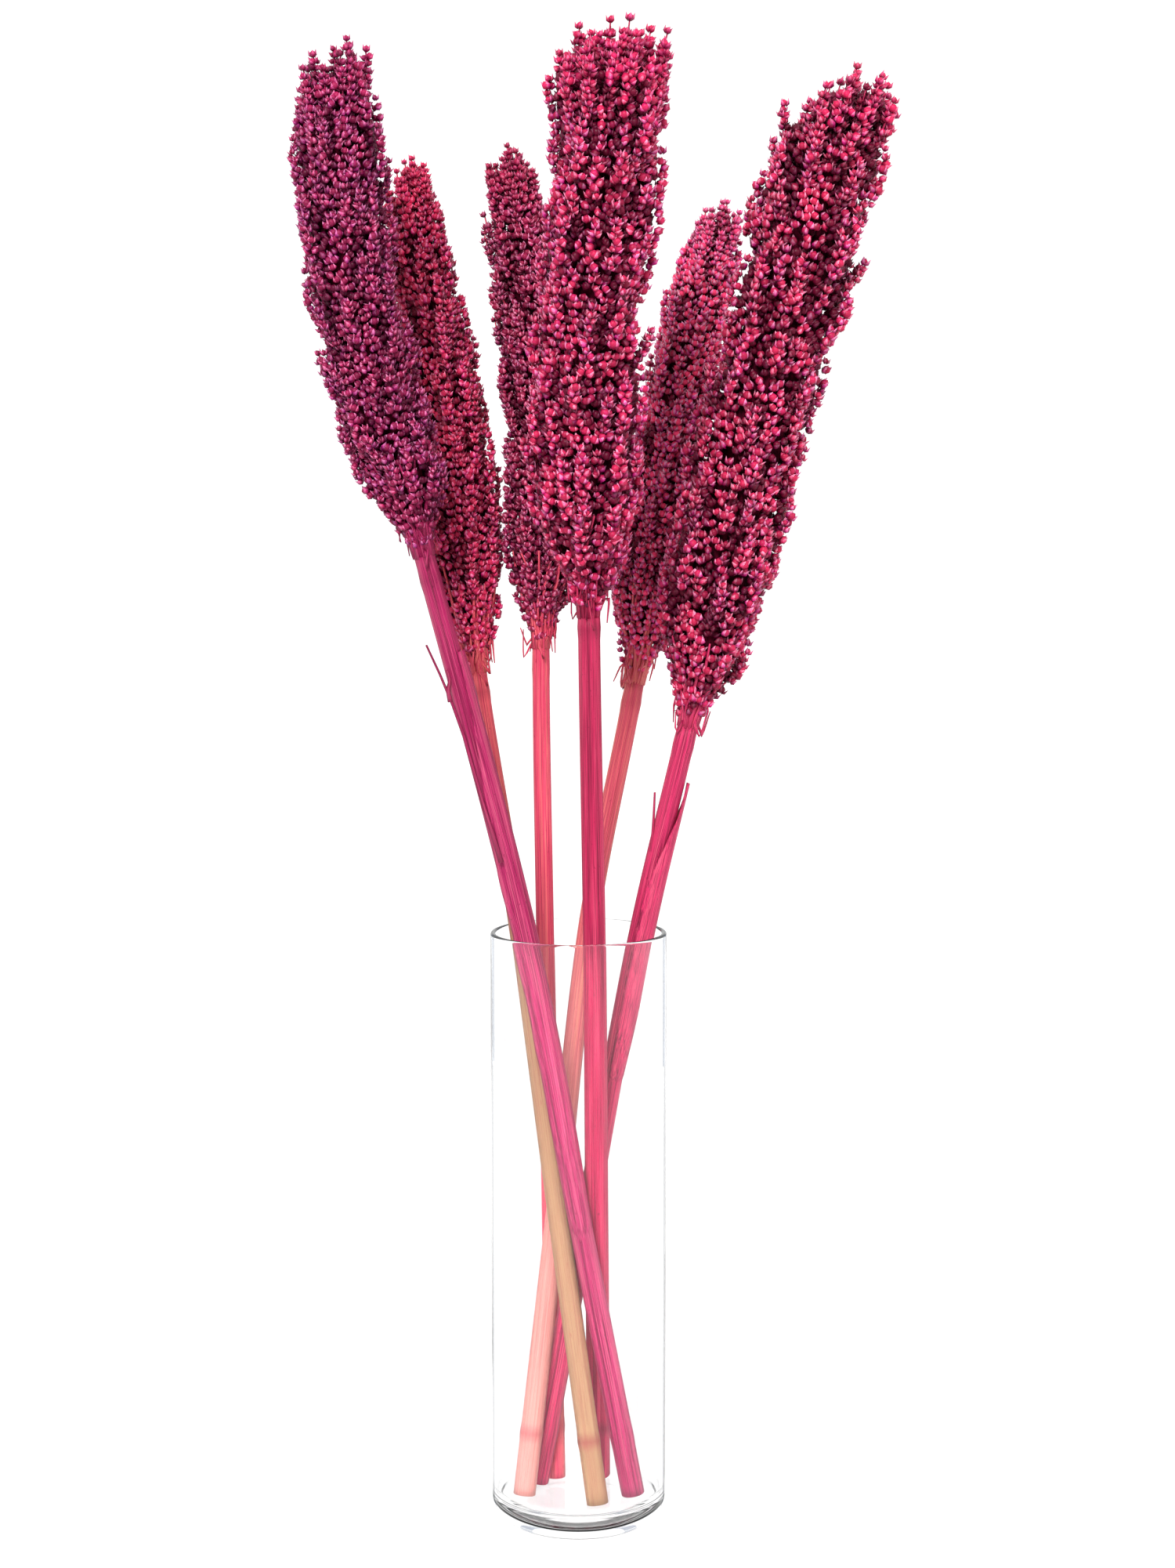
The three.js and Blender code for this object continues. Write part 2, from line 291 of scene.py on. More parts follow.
def plant_line(plant):
    """The line of a plant's middle: straight from just over the glass floor to the rim, then on to the tip."""
    x, y = plant["foot"]
    slope = math.hypot(plant["rim"][0] - x, plant["rim"][1] - y) / (VASE_HEIGHT - VASE_FLOOR)
    foot = np.array([x, y, VASE_FLOOR + GAP + plant["stem"] * slope])
    rim = np.array([*plant["rim"], VASE_HEIGHT])
    return Line([foot, (foot + rim) / 2, rim, plant["neck"], plant["middle"], plant["tip"]])


# Modelling


def select_only(piece):
    bpy.ops.object.select_all(action="DESELECT")
    piece.select_set(True)
    bpy.context.view_layer.objects.active = piece


def new_primitive(add, **settings):
    """A primitive as the only selected object."""
    bpy.ops.object.select_all(action="DESELECT")
    add(**settings)
    return bpy.context.active_object


def select_parts(piece, kind, wanted):
    """Opens the piece in edit mode and selects only its wanted faces or edges.

    wanted is given the middle of each, with a face's normal or the way that an edge runs.
    """
    select_only(piece)
    bpy.ops.object.mode_set(mode="EDIT")
    bpy.ops.mesh.select_mode(type=kind)
    bpy.ops.mesh.select_all(action="DESELECT")
    mesh = bmesh.from_edit_mesh(piece.data)
    parts = mesh.faces if kind == "FACE" else mesh.edges
    for part in parts:
        middle = sum((v.co for v in part.verts), Vector()) / len(part.verts)
        way = part.normal if kind == "FACE" else (part.verts[1].co - part.verts[0].co).normalized()
        part.select = wanted(middle, way)
    mesh.select_flush_mode()
    bmesh.update_edit_mesh(piece.data)


def leave_edit_mode():
    bpy.ops.object.mode_set(mode="OBJECT")


def take_apart(piece):
    """The corners and triangles of a piece that was only a pattern, which is then thrown away."""
    mesh = piece.data
    mesh.calc_loop_triangles()
    points = np.empty(len(mesh.vertices) * 3)
    mesh.vertices.foreach_get("co", points)
    triangles = np.empty(len(mesh.loop_triangles) * 3, int)
    mesh.loop_triangles.foreach_get("vertices", triangles)
    bpy.data.meshes.remove(mesh)
    return points.reshape(-1, 3), triangles.reshape(-1, 3)


def new_piece(name, points, triangles, materials, values=(), finishes=None):
    """A piece in metres from corners in millimetres.

    values are named numbers or vectors, one for each corner. finishes say which material each triangle has.
    """
    mesh = bpy.data.meshes.new(name)
    mesh.vertices.add(len(points))
    mesh.vertices.foreach_set("co", (np.asarray(points) * MM).astype(np.float32).ravel())
    mesh.loops.add(3 * len(triangles))
    mesh.loops.foreach_set("vertex_index", np.asarray(triangles, np.int32).ravel())
    mesh.polygons.add(len(triangles))
    mesh.polygons.foreach_set("loop_start", np.arange(0, 3 * len(triangles), 3, dtype=np.int32))
    if finishes is not None:
        mesh.polygons.foreach_set("material_index", np.asarray(finishes, np.int32))
    mesh.update(calc_edges=True)
    mesh.validate()
    mesh.shade_smooth()
    for label, numbers in dict(values).items():
        numbers = np.asarray(numbers, np.float32)
        if numbers.ndim == 1:
            mesh.attributes.new(label, "FLOAT", "POINT").data.foreach_set("value", numbers)
        else:
            layer = mesh.attributes.new(label, "FLOAT_VECTOR", "POINT")
            layer.data.foreach_set("vector", numbers.ravel())
    for material in materials:
        mesh.materials.append(material)
    piece = bpy.data.objects.new(name, mesh)
    bpy.context.scene.collection.objects.link(piece)
    return piece


def add_to_model(piece, node):
    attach(piece, "root")
    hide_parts(node)


# Materials


def new_material(name, **finish):
    """A material with one shader, whose constant finish is set on the shader's own sockets."""
    material = bpy.data.materials.new(name)
    material.use_nodes = True
    tree = material.node_tree
    tree.nodes.clear()
    output = tree.nodes.new("ShaderNodeOutputMaterial")
    shader = tree.nodes.new("ShaderNodeBsdfPrincipled")
    for socket, value in finish.items():
        shader.inputs[socket].default_value = value
    tree.links.new(shader.outputs[0], output.inputs["Surface"])
    return material, tree, shader


def plug(tree, socket, value):
    """Sets a socket to a constant, or links it to another node's output."""
    if isinstance(value, bpy.types.NodeSocket):
        tree.links.new(value, socket)
    elif value is not None:
        socket.default_value = value


def attribute(tree, name, output="Fac"):
    node = tree.nodes.new("ShaderNodeAttribute")
    node.attribute_name = name
    return node.outputs[output]


def scaled(tree, vector, scale):
    node = tree.nodes.new("ShaderNodeMapping")
    plug(tree, node.inputs["Vector"], vector)
    node.inputs["Scale"].default_value = scale
    return node.outputs[0]


def noise(tree, vector, scale, detail=3, roughness=0.5):
    node = tree.nodes.new("ShaderNodeTexNoise")
    plug(tree, node.inputs["Vector"], vector)
    node.inputs["Scale"].default_value = scale
    node.inputs["Detail"].default_value = detail
    node.inputs["Roughness"].default_value = roughness
    return node.outputs["Fac"]


def maths(tree, operation, first, second=None):
    node = tree.nodes.new("ShaderNodeMath")
    node.operation = operation
    plug(tree, node.inputs[0], first)
    plug(tree, node.inputs[1], second)
    return node.outputs[0]


def ranged(tree, value, low, high, to_low=0.0, to_high=1.0):
    node = tree.nodes.new("ShaderNodeMapRange")
    node.interpolation_type = "SMOOTHSTEP"
    for socket, setting in zip(node.inputs, (value, low, high, to_low, to_high)):
        plug(tree, socket, setting)
    return node.outputs[0]


def blended(tree, share, first, second):
    node = tree.nodes.new("ShaderNodeMix")
    node.data_type = "RGBA"
    plug(tree, node.inputs["Factor"], share)
    plug(tree, node.inputs["A"], first)
    plug(tree, node.inputs["B"], second)
    return node.outputs["Result"]


def ramp(tree, value, stops):
    """A colour ramp through (place, colour) stops."""
    node = tree.nodes.new("ShaderNodeValToRGB")
    plug(tree, node.inputs[0], value)
    band = node.color_ramp
    band.elements[0].position, band.elements[0].color = stops[0]
    band.elements[1].position, band.elements[1].color = stops[-1]
    for place, colour in stops[1:-1]:
        band.elements.new(place).color = colour
    return node.outputs["Color"]


def bumped(tree, shader, height, strength, distance):
    node = tree.nodes.new("ShaderNodeBump")
    node.inputs["Strength"].default_value = strength
    node.inputs["Distance"].default_value = distance
    plug(tree, node.inputs["Height"], height)
    tree.links.new(node.outputs[0], shader.inputs["Normal"])


def paint(red, green, blue):
    """A colour as a shader takes it, from the 0 to 255 values that a screen shows."""
    linear = [((c / 255 + 0.055) / 1.055) ** 2.4 if c > 10 else c / 3295 for c in (red, green, blue)]
    return (*linear, 1.0)


def dyed_grain_with_painted_light(name, deep, grain, cool, warm, pale):
    """Dry grains and papery husks that took up the dye unevenly, with painted shade at their feet and in the
    gaps.
    """
    material, tree, shader = new_material(name, **{"Roughness": 0.4, "Specular IOR Level": 0.2})
    place = tree.nodes.new("ShaderNodeTexCoord").outputs["Object"]
    tone = attribute(tree, "tone")
    husk = attribute(tree, "husk")
    patches = maths(tree, "ADD", tone, maths(tree, "MULTIPLY", noise(tree, place, 45, 2), 1.4))
    dye = blended(tree, ranged(tree, patches, 0.8, 1.6), cool, warm)
    grain_colour = blended(tree, ranged(tree, noise(tree, place, 700, 3), 0.45, 0.7, 0, 0.4), grain, dye)
    colour = blended(tree, ranged(tree, husk, 0.3, 0.45), grain_colour, dye)
    # The husks' own pale edges and tips, with a painted highlight on them
    pale_edges_and_glints = maths(tree, "ADD", husk, maths(tree, "MULTIPLY", noise(tree, place, 1100, 2), 0.35))
    colour = blended(tree, ranged(tree, pale_edges_and_glints, 0.92, 1.22, 0, 0.75), colour, pale)
    colour = blended(tree, ranged(tree, attribute(tree, "height"), 0.8, 1.0, 0, 0.5), colour, warm)
    shade = maths(tree, "FRACT", maths(tree, "MULTIPLY", tone, 7.3))
    colour = blended(tree, ranged(tree, shade, 0.0, 1.0, 0.3, 0.0), colour, deep)
    # Painted shade: darker towards the foot of each spikelet
    colour = blended(tree, ranged(tree, attribute(tree, "rise"), 0.05, 0.6, 0.7, 0.0), colour, deep)
    # Painted shade: darker where other spikelets stand out further beside it, in the gaps between the cords
    colour = blended(tree, ranged(tree, attribute(tree, "light"), 0.0, 0.95, 0.92, 0.0), colour, deep)
    plug(tree, shader.inputs["Base Color"], colour)
    bumped(tree, shader, noise(tree, place, 1500, 4, 0.6), 0.3, 0.0004)
    return material


def dark_heart(name):
    """The stalks in the middle of a head, painted near black as painted shade, since they show only as dark
    gaps.
    """
    material, tree, shader = new_material(name, **{"Roughness": 0.95, "Specular IOR Level": 0.05})
    place = tree.nodes.new("ShaderNodeTexCoord").outputs["Object"]
    specks = noise(tree, scaled(tree, place, (400, 400, 120)), 1.0, 3)
    colour = ramp(tree, specks, [(0.4, paint(30, 2, 10)), (0.65, paint(74, 6, 28))])
    plug(tree, shader.inputs["Base Color"], colour)
    bumped(tree, shader, specks, 0.6, 0.001)
    return material


def dyed_cane(name, dye, deep, pale, bare, bare_from, bare_to):
    """A dry cane with fine lengthwise fibres. Its dye fades to bare straw between two heights on it."""
    material, tree, shader = new_material(name, **{"Roughness": 0.45, "Specular IOR Level": 0.3})
    straight = attribute(tree, "straight", "Vector")
    fibres = noise(tree, scaled(tree, straight, (1.7, 1.7, 0.01)), 1.4, 4, 0.7)
    bands = noise(tree, scaled(tree, straight, (0.28, 0.28, 0.005)), 1.0, 3)
    colour = ramp(tree, fibres, [(0.36, deep), (0.46, dye), (0.56, dye), (0.68, pale)])
    colour = blended(tree, ranged(tree, bands, 0.5, 0.66, 0, 0.55), colour, pale)
    colour = blended(tree, ranged(tree, bands, 0.46, 0.32, 0, 0.55), colour, deep)
    hairlines = noise(tree, scaled(tree, straight, (2.6, 2.6, 0.012)), 1.4, 2)
    colour = blended(tree, ranged(tree, hairlines, 0.48, 0.36, 0, 0.75), colour, deep)
    colour = blended(tree, ranged(tree, hairlines, 0.56, 0.68, 0, 0.6), colour, pale)
    height = tree.nodes.new("ShaderNodeSeparateXYZ")
    plug(tree, height.inputs[0], straight)
    patches = maths(tree, "MULTIPLY", noise(tree, scaled(tree, straight, (0.2, 0.2, 0.012)), 1.0, 2), 160)
    bareness = ranged(tree, maths(tree, "ADD", height.outputs["Z"], patches), bare_from, bare_to)
    bare_fibres = blended(tree, ranged(tree, fibres, 0.38, 0.56), blended(tree, 0.45, bare, deep), bare)
    colour = blended(tree, bareness, colour, bare_fibres)
    specks = noise(tree, scaled(tree, straight, (0.5, 0.5, 0.25)), 1.6, 2)
    colour = blended(tree, ranged(tree, specks, 0.68, 0.74, 0, 0.6), colour, deep)
    colour = blended(tree, attribute(tree, "scar"), colour, deep)
    plug(tree, shader.inputs["Base Color"], colour)
    bumped(tree, shader, fibres, 0.8, 0.0008)
    return material


def clear_glass(name):
    """Clear glass that lets the lamps light what stands in it."""
    material, tree, shader = new_material(
        name,
        **{"Base Color": (1, 1, 1, 1), "Transmission Weight": 1.0, "Roughness": 0.0, "IOR": 1.48},
    )
    place = tree.nodes.new("ShaderNodeTexCoord").outputs["Object"]
    waves = noise(tree, scaled(tree, place, (14, 14, 5)), 1.0, 2)
    bumped(tree, shader, waves, 0.08, 0.004)
    clear = tree.nodes.new("ShaderNodeBsdfTransparent")
    path = tree.nodes.new("ShaderNodeLightPath")
    mix = tree.nodes.new("ShaderNodeMixShader")
    plug(tree, mix.inputs[0], path.outputs["Is Shadow Ray"])
    plug(tree, mix.inputs[1], shader.outputs[0])
    plug(tree, mix.inputs[2], clear.outputs[0])
    output = next(node for node in tree.nodes if node.type == "OUTPUT_MATERIAL")
    plug(tree, output.inputs["Surface"], mix.outputs[0])
    return material


def pale_floor(name):
    """A white light table, which leaves hardly any shadow."""
    material, tree, shader = new_material(name, **{"Roughness": 0.6, "Emission Strength": 0.75})
    shader.inputs["Emission Color"].default_value = (1, 1, 1, 1)
    place = tree.nodes.new("ShaderNodeTexCoord").outputs["Object"]
    colour = ramp(tree, noise(tree, place, 3), [(0.3, (0.26, 0.26, 0.26, 1)), (0.7, (0.28, 0.28, 0.28, 1))])
    plug(tree, shader.inputs["Base Color"], colour)
    return material


# The vase


def make_vase(glass):
    """A heavy-footed cylinder: a solid one, hollowed by sinking its inset top, with rounded edges."""
    vase = new_primitive(
        bpy.ops.mesh.primitive_cylinder_add,
        vertices=VASE_SIDES,
        radius=VASE_RADIUS,
        depth=VASE_HEIGHT,
        location=(0, 0, VASE_HEIGHT / 2),
    )
    bpy.ops.object.transform_apply(location=True)
    select_parts(vase, "FACE", lambda middle, way: way.z > 0.9)
    bpy.ops.mesh.inset(thickness=VASE_WALL, depth=0)
    bpy.ops.mesh.extrude_region_move(
        TRANSFORM_OT_translate={"value": (0, 0, VASE_FLOOR - VASE_HEIGHT)}
    )
    leave_edit_mode()

    def round_edge(height, inner, width, segments):
        mid_wall = VASE_RADIUS - VASE_WALL / 2

        def on_edge(middle, way):
            is_inner = math.hypot(middle.x, middle.y) < mid_wall
            return abs(way.z) < 0.1 and abs(middle.z - height) < 0.5 and is_inner == inner

        select_parts(vase, "EDGE", on_edge)
        bpy.ops.mesh.bevel(offset=width, offset_type="OFFSET", segments=segments, affect="EDGES")
        leave_edit_mode()

    round_edge(0, False, VASE_FOOT_CORNER, 14)
    round_edge(VASE_FLOOR, True, VASE_WELL_CORNER, 8)
    round_edge(VASE_HEIGHT, False, VASE_RIM_CORNER, 5)
    round_edge(VASE_HEIGHT, True, VASE_RIM_CORNER, 5)

    # In metres, with normals that lean on the large faces, so that the walls mirror as flat as real ones
    select_only(vase)
    vase.name = "glass_vase"
    vase.scale = (MM, MM, MM)
    bpy.ops.object.transform_apply(scale=True)
    bpy.ops.object.shade_smooth()
    bpy.ops.object.modifier_add(type="WEIGHTED_NORMAL")
    bpy.ops.object.modifier_apply(modifier=vase.modifiers[-1].name)
    vase.data.materials.append(glass)
    add_to_model(vase, "vase")


# The stems and their sheaths


def straight_cane(radius, length, sides, rings):
    """A straight closed cane along +Z, with rings enough to bend smoothly."""
    cane = new_primitive(
        bpy.ops.mesh.primitive_cylinder_add,
        vertices=sides,
        radius=radius,
        depth=length,
        location=(0, 0, length / 2),
    )
    bpy.ops.object.transform_apply(location=True)
    select_parts(cane, "EDGE", lambda middle, way: abs(way.z) > 0.9)
    bpy.ops.mesh.subdivide(number_cuts=rings - 2)
    leave_edit_mode()
    return take_apart(cane)


def make_stem(plant, line, neck, cane):
    """A fluted, slightly oval cane up to the neck of the head, with a scarred joint near each end."""
    points, triangles = straight_cane(plant["stem"], neck, STEM_SIDES, STEM_RINGS)
    roll = random.Random(plant["seed"])
    turn = np.arctan2(points[:, 1], points[:, 0])
    height = points[:, 2]
    taper = lerp(1, STEM_TOP_SHARE, height / neck)
    ridges = np.abs(np.sin(turn * 4.5 + roll.random() * 6))
    flutes = 1 + FLUTE_DEPTH * (ridges + np.sin(turn * 5 + height * 0.006))
    oval = 1 + OVALNESS * np.cos(2 * turn + height * 0.004)
    scar = np.zeros(len(points))
    swelling = np.ones(len(points))
    low_joint = neck * 0.06 + 8 * roll.random()
    high_joint = neck - 4 - 10 * roll.random()
    for joint in (low_joint, high_joint):
        swelling += JOINT_SWELLING * np.exp(-(((height - joint) / JOINT_WIDTH) ** 2))
        scar = np.maximum(scar, 0.6 * np.exp(-(((height - joint) / SCAR_WIDTH) ** 2)))
    shaped = points.copy()
    shaped[:, :2] *= (taper * flutes * oval * swelling)[:, None]
    name = "cane_" + plant["name"]
    piece = new_piece(name, line.lay(shaped), triangles, [cane], {"straight": points, "scar": scar})
    add_to_model(piece, "stem_" + plant["name"])


def sheath_triangles():
    """The triangles of a sheath's outer and inner sheet, and of the four strips that join their edges."""
    triangles = []
    inner = SHEATH_RINGS * SHEATH_COLUMNS
    right = SHEATH_COLUMNS - 1
    end = (SHEATH_RINGS - 1) * SHEATH_COLUMNS

    def quad(a, b, c, d):
        triangles.append((a, b, c))
        triangles.append((a, c, d))

    for low in range(0, end, SHEATH_COLUMNS):
        high = low + SHEATH_COLUMNS
        for column in range(right):
            a = low + column
            b = high + column
            quad(a, a + 1, b + 1, b)
            quad(inner + a + 1, inner + a, inner + b, inner + b + 1)
        quad(inner + low, low, high, inner + high)
        quad(low + right, inner + low + right, inner + high + right, high + right)
    for a in range(right):
        b = end + a
        quad(a + 1, a, inner + a, inner + a + 1)
        quad(b, b + 1, inner + b + 1, inner + b)
    return np.array(triangles)


def make_sheath(plant, line, neck, cane, twig_pattern):
    """A dry leaf sheath: part of a tube, which narrows to a free point, with rippled edges.

    Its foot is sunk in the stem that it grows from, and torn strips of it stand free.
    """
    facts = plant["sheath"]
    length = (facts["to"] - facts["from"]) * neck
    share = np.linspace(0, 1, SHEATH_RINGS)[:, None]
    across = np.linspace(-1, 1, SHEATH_COLUMNS)[None, :]
    half = facts["spread"] * lerp(1, 0.25, smoothstep(share, 0.6, 1))
    turn = facts["facing"] + half * across
    sunk = SHEATH_FOOT_DEPTH * (1 - smoothstep(share, 0, 0.05))
    loose = (GAP + facts["loose"]) * smoothstep(share, 0, 0.3)
    ripple = EDGE_RIPPLE * np.sin(share * 46 + across * 2) * np.abs(across) ** 3
    inner = plant["stem"] - sunk + loose + ripple
    outer = inner + lerp(SHEATH_FOOT_THICKNESS, SHEATH_THICKNESS, smoothstep(share, 0, 0.2))
    sheets = []
    for reach in (outer, inner):
        x = reach * np.cos(turn)
        y = reach * np.sin(turn)
        z = length * share + 0 * across
        sheets.append(np.stack([x, y, z], axis=-1).reshape(-1, 3))
    straight = np.vstack(sheets)
    bent = line.lay(straight, facts["from"] * neck)
    triangles = sheath_triangles()
    scar = np.zeros(len(bent))
    for path in facts["strips"]:
        points, strip_triangles, strip_straight = strand(path, *STRIP_RADII, twig_pattern)
        triangles = np.vstack([triangles, strip_triangles + len(bent)])
        bent = np.vstack([bent, points])
        straight = np.vstack([straight, strip_straight])
        scar = np.concatenate([scar, np.full(len(points), 0.35)])
    values = {"straight": straight, "scar": scar}
    piece = new_piece("leaf_" + plant["name"], bent, triangles, [cane], values)
    add_to_model(piece, "sheath_" + plant["name"])


# The heads


def dice(seed):
    """Repeatable random numbers from 0 to 1, the same as in the part's source."""
    state = seed
    while True:
        state = (state * 1664525 + 1013904223) % 4294967296
        yield state / 4294967296


def fullness(share, crown):
    """How much of its full radius a head has at a share of its length."""
    return smoothstep(share, -0.12, 0.24) * lerp(1, crown, smoothstep(share, 0.55, 1))


def branch_fullness(share):
    """How much of its full radius a branch has at a share of its length: narrow at the foot, round on top."""
    tip = np.sqrt(np.maximum(0, 1 - (np.maximum(0, (share - 0.6) / 0.42)) ** 2))
    return smoothstep(share, -0.12, 0.4) * tip


def branches_of(plant, length):
    """The upright branches that a head is made of, spread round it and up it as in the part's source."""
    roll = dice(plant["seed"])
    span = BRANCH_LENGTH / length
    last = plant["branches"] - 1
    branches = []
    for order in range(last + 1):
        top = lerp(span * 0.62, TOP_BRANCH_END, order / last) + (next(roll) - 0.5) * 0.07
        start = max(0.005, top - span * (0.85 + 0.3 * next(roll)))
        turn = order * GOLDEN_TURN + (next(roll) - 0.5) * 0.5
        radius = plant["head"] * BRANCH_SHARE * (0.9 + 0.2 * next(roll))
        lean = 0.93 + 0.14 * next(roll)
        end = min(TOP_BRANCH_END, top)
        branches.append({"from": start, "to": end, "turn": turn, "radius": radius, "lean": lean})
    return branches


def branch_offset(plant, branch, height):
    """How far the middle of a branch lies from the middle of the head at a height."""
    share = (height - branch["from"]) / (branch["to"] - branch["from"])
    outline = plant["head"] * fullness(height, plant["crown"]) * branch["lean"]
    return np.maximum(2, outline - branch["radius"]) * smoothstep(share, -0.3, 0.35)


def head_reach(plant, branches, height, turn):
    """How far the head's surface lies from its middle at heights and turns."""
    crown = np.maximum(0, (height - 1 + CROWN_ROUNDING) / CROWN_ROUNDING)
    rounding = np.sqrt(np.maximum(0.02, 1 - crown**2))
    reach = CORE_SHARE * plant["head"] * fullness(height, plant["crown"]) * rounding
    for branch in branches:
        share = (height - branch["from"]) / (branch["to"] - branch["from"])
        offset = branch_offset(plant, branch, height)
        radius = branch["radius"] * branch_fullness(np.clip(share, 0, 1))
        aside = offset * np.sin(turn - branch["turn"])
        near = offset * np.cos(turn - branch["turn"])
        there = (share > 0) & (share < 1) & (near > 0) & (np.abs(aside) < radius)
        bulge = near + np.sqrt(np.maximum(0, radius**2 - aside**2))
        reach = np.where(there, np.maximum(reach, bulge), reach)
    return reach


def model_grain(size):
    """A round grain that stands on the origin, a little longer than wide, with a blunt tip."""
    grain = new_primitive(
        bpy.ops.mesh.primitive_ico_sphere_add, subdivisions=1, radius=size / 2, location=(0, 0, size / 2)
    )
    bpy.ops.object.transform_apply(location=True)
    select_parts(grain, "FACE", lambda middle, way: way.z > 0.5)
    bpy.ops.transform.resize(value=(1, 1, 1.15), center_override=(0, 0, size / 2))
    leave_edit_mode()
    points, triangles = take_apart(grain)
    return points, faces_out(points, triangles)


def model_husk(grain_size, length, width, flare):
    """A pointed, keeled husk: a straight blade that is then wrapped up the side of a grain, towards +X."""
    husk = new_primitive(
        bpy.ops.mesh.primitive_cone_add,
        vertices=3,
        radius1=width,
        radius2=0,
        depth=length * 0.5,
        location=(0, 0, length * 0.75),
    )
    bpy.ops.object.transform_apply(location=True)
    select_parts(husk, "FACE", lambda middle, way: way.z < -0.9)
    bpy.ops.mesh.extrude_region_move(TRANSFORM_OT_translate={"value": (0, 0, -length * 0.5)})
    bpy.ops.transform.resize(value=(0.45, 0.45, 1))
    leave_edit_mode()
    points, triangles = take_apart(husk)

    # The blade climbs from under the grain to its shoulder, and further out where it flares
    across, keel, height = points.T
    share = np.clip(height / length, 0, 1)
    radius = grain_size / 2
    climb = np.radians(lerp(-70, 58 - 45 * flare, share))
    out = radius * (1.03 + flare * share**1.5) * np.cos(climb) + 0.24 * keel
    wrap = across / (radius * 1.1)
    up = radius + radius * np.sin(climb) * (1.15 + 0.9 * flare * share)
    up = up + 0.11 * length * share**3
    wrapped = np.stack([out * np.cos(wrap), out * np.sin(wrap), up], axis=-1)
    # Huskiness rises towards the tip and the side edges, which the grain material paints pale: the husks' own
    # pale edges with a painted highlight on them
    edge = np.abs(across) / np.abs(across).max()
    return wrapped, faces_out(wrapped, triangles), lerp(0.5, 1.0, share) + 0.25 * edge * share


def turned(points, angle):
    """Points turned about +Z."""
    cosine, sine = math.cos(angle), math.sin(angle)
    x, y, z = points.T
    return np.stack([x * cosine - y * sine, x * sine + y * cosine, z], axis=-1)


def faces_out(points, triangles):
    """The triangles of a closed shape, turned so that they face outwards."""
    middle = points.mean(axis=0)
    a, b, c = (points[triangles[:, i]] - middle for i in range(3))
    volume = np.einsum("ij,ij->i", a, np.cross(b, c)).sum()
    return triangles if volume > 0 else triangles[:, ::-1]


def model_spikelet(grain_size, husks):
    """A spikelet one unit wide: a grain between husks, each given by its turn, length, width and flare.

    Returns corners, triangles and how husky each corner is.
    """
    grain, grain_faces = model_grain(grain_size)
    parts = [(grain, grain_faces, np.zeros(len(grain)))]
    for angle, length, width, flare in husks:
        husk, husk_faces, huskiness = model_husk(grain_size, length, width, flare)
        parts.append((turned(husk, angle), husk_faces, huskiness))
    starts = np.cumsum([0] + [len(part[0]) for part in parts])
    return (
        np.vstack([part[0] for part in parts]),
        np.vstack([part[1] + start for part, start in zip(parts, starts)]),
        np.concatenate([part[2] for part in parts]),
    )


def model_spikelets():
    """The two kinds of spikelet: round, with two husks that hug the grain, and open, with three."""
    round_husks = [(turn, 1.08, 0.44, 0.14) for turn in (0, math.pi)]
    open_husks = [(turn, 1.35, 0.36, 0.6) for turn in (0.2, 2.4, 4.3)]
    return model_spikelet(0.8, round_husks), model_spikelet(0.6, open_husks)


class Spikelets:
    """Where spikelets may sit on a straight head: x and y across it and z up it.

    Those with a lower rank choose their places first, and a catkin's spikelets all have the same rank.
    """

    def __init__(self, plant):
        self.roll = random.Random(plant["seed"])
        self.size = plant["grain"]
        self.places = []
        self.outs = []
        self.open = []
        self.ranks = []
        self.twigs = []

    def add(self, place, out, is_open, rank):
        self.places.append(place)
        self.outs.append(out)
        self.open.append(is_open)
        self.ranks.append(rank)

    def add_catkin(self, foot, tip, way, rank, bow=0.5, has_twig=False):
        """Spikelets round a short twig that runs from its foot to its tip and bows out, towards way.

        A catkin with no twig of its own lies on the head, and has no spikelets at its back.
        """
        roll = self.roll
        radius = CATKIN_RADIUS * self.size
        length = np.linalg.norm(tip - foot)
        levels = max(2, round(length / (LEVEL_STEP * self.size)))
        across = unit(np.cross(way, UP))
        lean = unit(tip - foot)
        spin = roll.uniform(0, 6)
        middles = []
        for level in range(levels + 1):
            climb = level / levels
            middle = lerp(foot, tip, climb) + way * bow * length * 0.18 * math.sin(math.pi * climb)
            middles.append(middle)
            middle = middle + lean * roll.uniform(-0.8, 0.8)
            if level == levels:
                self.add(middle + lean * 1.5, unit(way * 0.3 + lean), True, rank)
                continue
            narrowing = lerp(1.1, 0.7, climb)
            for bead in range(3):
                angle = spin + level * 1.05 + bead * 2 * math.pi / 3 + roll.uniform(-0.35, 0.35)
                out = math.cos(angle) * way + math.sin(angle) * across
                if out @ way < -0.35 and not has_twig:
                    continue
                is_open = roll.random() < (0.9 if has_twig else lerp(0.2, 0.55, climb))
                self.add(middle + radius * narrowing * out, out, is_open, rank)
        if has_twig:
            self.twigs.append(middles)


def across_head(turn):
    """The way out from the middle of a straight head at a turn."""
    return np.array([math.cos(turn), math.sin(turn), 0.0])


def ragged_top(plant, x, y):
    """How high the head reaches over a place across it, as a share of its length: lobed and slanted."""
    turn = np.arctan2(y, x)
    reach = np.hypot(x, y) / (plant["head"] * plant["crown"])
    lobes = np.sin(3 * turn + plant["seed"]) * np.sin(2 * turn + 2 * plant["seed"])
    slant = plant["slant"] * (1 - np.cos(turn - plant["peak"]) * reach)
    return 1.01 - slant - 0.02 * reach**2 + 0.035 * lobes * reach


